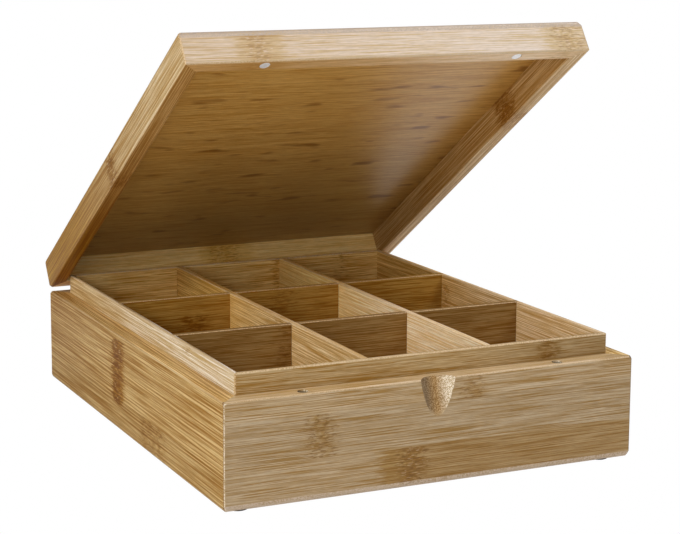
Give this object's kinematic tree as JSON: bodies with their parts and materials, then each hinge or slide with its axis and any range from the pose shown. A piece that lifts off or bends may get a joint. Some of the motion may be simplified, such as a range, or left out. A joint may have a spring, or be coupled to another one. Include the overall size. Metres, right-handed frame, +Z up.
{
  "type": "tea bag organizer box",
  "caption": "Shallow laminated bamboo box with a raised inner liner, a lattice of dividers making square compartments, and a framed lid on rear butt hinges.",
  "frame": {"origin": "centre of the base's footprint, on the plane that the four feet stand on", "axes": "+X to the right, +Y to the back where the hinges are, +Z up; the front with the thumb notch faces -Y"},
  "size_m": [0.25, 0.3155, 0.2465],
  "materials": {
    "bamboo_wall": "satin lacquered laminated bamboo",
    "bamboo_inner": "satin lacquered bamboo board",
    "bamboo_lid": "satin lacquered laminated bamboo",
    "bamboo_panel": "satin lacquered bamboo board",
    "nickel": "nickel plated magnet",
    "brass": "satin brass plate",
    "steel": "bright steel pin",
    "rubber": "matte black rubber"
  },
  "bodies": {
    "base": {"base_front_wall": "bamboo_wall", "base_back_wall": "bamboo_wall", "base_left_wall": "bamboo_wall", "base_right_wall": "bamboo_wall", "base_floor": "bamboo_inner", "liner_front": "bamboo_inner", "liner_back": "bamboo_inner", "liner_left": "bamboo_inner", "liner_right": "bamboo_inner", "long_divider_left": "bamboo_inner", "long_divider_right": "bamboo_inner", "cross_divider_front": "bamboo_inner", "cross_divider_rear": "bamboo_inner", "base_magnet_left": "nickel", "base_magnet_right": "nickel", "foot_front_left": "rubber", "foot_front_right": "rubber", "foot_back_left": "rubber", "foot_back_right": "rubber", "base_hinge_leaf_left": "brass", "base_hinge_leaf_right": "brass", "hinge_pin_left": "steel", "hinge_pin_right": "steel", "base_hinge_screws": "brass"},
    "lid": {"lid_front_wall": "bamboo_lid", "lid_back_wall": "bamboo_lid", "lid_left_wall": "bamboo_lid", "lid_right_wall": "bamboo_lid", "lid_top_panel": "bamboo_panel", "lid_magnet_left": "nickel", "lid_magnet_right": "nickel", "lid_hinge_leaf_left": "brass", "lid_hinge_leaf_right": "brass", "lid_hinge_screws": "brass"}
  },
  "joints": [
    {"name": "lid_hinge", "type": "hinge", "parent": "base", "child": "lid", "pos_m": [0, 0.1555, 0.06165], "axis": [-1, 0, 0], "range_deg": [-33.3, 61.7]}
  ]
}
